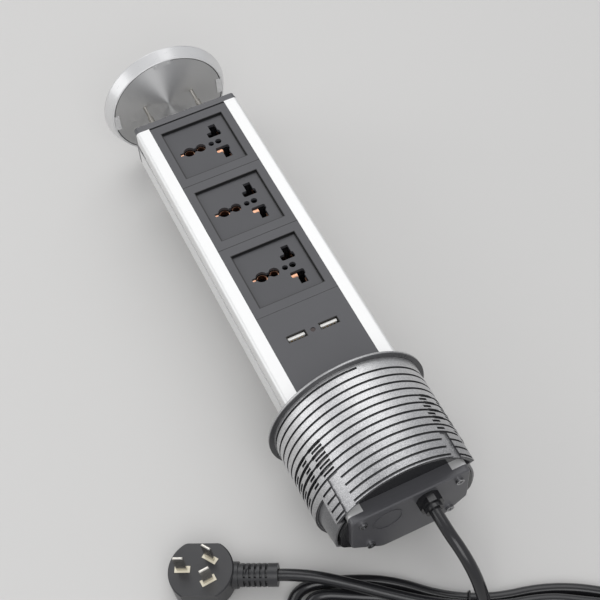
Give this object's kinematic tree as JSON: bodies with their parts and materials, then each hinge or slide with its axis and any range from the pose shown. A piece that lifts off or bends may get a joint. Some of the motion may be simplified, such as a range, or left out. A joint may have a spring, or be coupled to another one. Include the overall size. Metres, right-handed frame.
{
  "type": "pop up desk socket",
  "caption": "Desk socket tower that slides up out of a ribbed round barrel, with socket modules, charging outlets, a silver lid and a tied mains cord with its plug.",
  "frame": {"origin": "on the barrel's axis, in the plane of the desk flange's underside", "axes": "+Y along the barrel's axis to the lid, +Z out of the sockets' faces, X across the tower"},
  "size_m": [0.252, 0.5081, 0.106],
  "materials": {
    "black_plastic": "satin moulded black",
    "panel_black": "fine matt black",
    "face_grey": "fine matt dark grey",
    "alu": "satin anodised",
    "lid_silver": "spun, satin",
    "rim_silver": "bright bevel",
    "steel": "plain",
    "copper": "bare copper alloy",
    "nickel": "nickel plated",
    "gold": "plated contacts",
    "usb_white": "white moulded",
    "cream": "cream moulded",
    "lens": "dark red lens",
    "board": "green board",
    "cord": "black sheath",
    "pad": "grey friction pad",
    "wire": "insulated wire"
  },
  "bodies": {
    "barrel_body": {"barrel": "black_plastic", "upper_guide_ring": "black_plastic", "lower_guide_ring": "black_plastic", "friction_pads": "pad"},
    "tower_body": {"blade_collars": "cream", "cord_cores": "wire", "cord_gland": "black_plastic", "cord_hank": "cord", "cord_lead": "cord", "cord_tail": "cord", "cord_tie": "cord", "earth_contacts": "copper", "earth_wire": "wire", "end_cap": "black_plastic", "end_cap_screws": "steel", "foot_collar": "black_plastic", "led_lens": "lens", "lid_base": "lid_silver", "lid_posts": "steel", "lid_rim": "rim_silver", "lid_tabs": "steel", "lid_top": "lid_silver", "live_contacts": "copper", "live_wire": "wire", "neutral_contacts": "copper", "neutral_wire": "wire", "plug_blades": "nickel", "plug_body": "black_plastic", "plug_relief": "black_plastic", "post_sleeves": "black_plastic", "socket_face_1": "face_grey", "socket_face_2": "face_grey", "socket_face_3": "face_grey", "socket_frame_1": "panel_black", "socket_frame_2": "panel_black", "socket_frame_3": "panel_black", "socket_housing_1": "black_plastic", "socket_housing_2": "black_plastic", "socket_housing_3": "black_plastic", "terminal_block": "cream", "top_cap": "black_plastic", "tower_extrusion": "alu", "usb_board": "board", "usb_contacts": "gold", "usb_panel": "panel_black", "usb_shell_1": "nickel", "usb_shell_2": "nickel", "usb_tongue_1": "usb_white", "usb_tongue_2": "usb_white"}
  },
  "joints": [
    {"name": "tower_slide", "type": "slide", "parent": "barrel_body", "child": "tower_body", "axis": [0, 1, 0], "range_m": [-0.2965, 0]}
  ]
}
